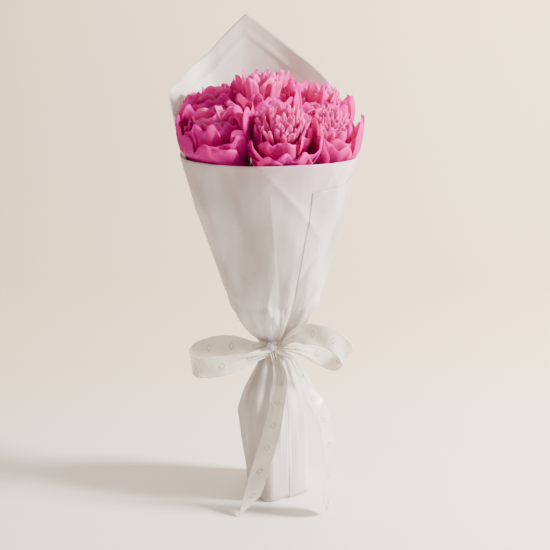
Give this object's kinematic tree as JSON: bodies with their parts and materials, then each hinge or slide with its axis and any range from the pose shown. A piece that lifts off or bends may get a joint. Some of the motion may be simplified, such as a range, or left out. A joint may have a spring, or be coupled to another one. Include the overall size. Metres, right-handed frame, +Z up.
{
  "type": "bunch of peonies",
  "caption": "Hand-tied bunch of pink peonies wrapped in frosted paper with a tall back corner, tied with a satin ribbon bow, standing on its cut stems and the paper's flared skirt.",
  "frame": {"origin": "on the surface the bunch stands on, under the middle of the part's bounding box", "axes": "+Z up along the stems, +Y towards the wrap's tall back corner, +X to the right seen from the front, where the bow is"},
  "size_m": [0.2134, 0.213, 0.5841],
  "materials": {
    "outer_petals": "soft velvety petal",
    "inner_petals": "soft velvety petal",
    "heart_petals": "soft ruffled petal",
    "sepals": "waxy green",
    "stems": "waxy green",
    "leaves": "satin green",
    "paper": "frosted, slightly see-through",
    "ribbon": "satin",
    "string": "twisted fibre"
  },
  "bodies": {
    "root": {"front_left_guard_petals": "outer_petals", "front_left_inner_petals": "inner_petals", "front_left_heart": "heart_petals", "front_left_calyx": "sepals", "front_left_stem": "stems", "front_middle_guard_petals": "outer_petals", "front_middle_inner_petals": "inner_petals", "front_middle_heart": "heart_petals", "front_middle_calyx": "sepals", "front_middle_stem": "stems", "right_guard_petals": "outer_petals", "right_inner_petals": "inner_petals", "right_heart": "heart_petals", "right_calyx": "sepals", "right_stem": "stems", "middle_guard_petals": "outer_petals", "middle_inner_petals": "inner_petals", "middle_heart": "heart_petals", "middle_calyx": "sepals", "middle_stem": "stems", "back_left_guard_petals": "outer_petals", "back_left_inner_petals": "inner_petals", "back_left_heart": "heart_petals", "back_left_calyx": "sepals", "back_left_stem": "stems", "back_guard_petals": "outer_petals", "back_inner_petals": "inner_petals", "back_heart": "heart_petals", "back_calyx": "sepals", "back_stem": "stems", "back_right_guard_petals": "outer_petals", "back_right_inner_petals": "inner_petals", "back_right_heart": "heart_petals", "back_right_calyx": "sepals", "back_right_stem": "stems", "leaf_front_left": "leaves", "leaf_front_right": "leaves", "leaf_right": "leaves", "leaf_back": "leaves", "leaf_left": "leaves", "wrap_back_sheet": "paper", "wrap_front_sheet": "paper", "stem_string": "string", "ribbon_band": "ribbon", "ribbon_knot": "ribbon", "ribbon_loop_left": "ribbon", "ribbon_loop_right": "ribbon", "ribbon_tail_left": "ribbon", "ribbon_tail_right": "ribbon"}
  },
  "joints": []
}
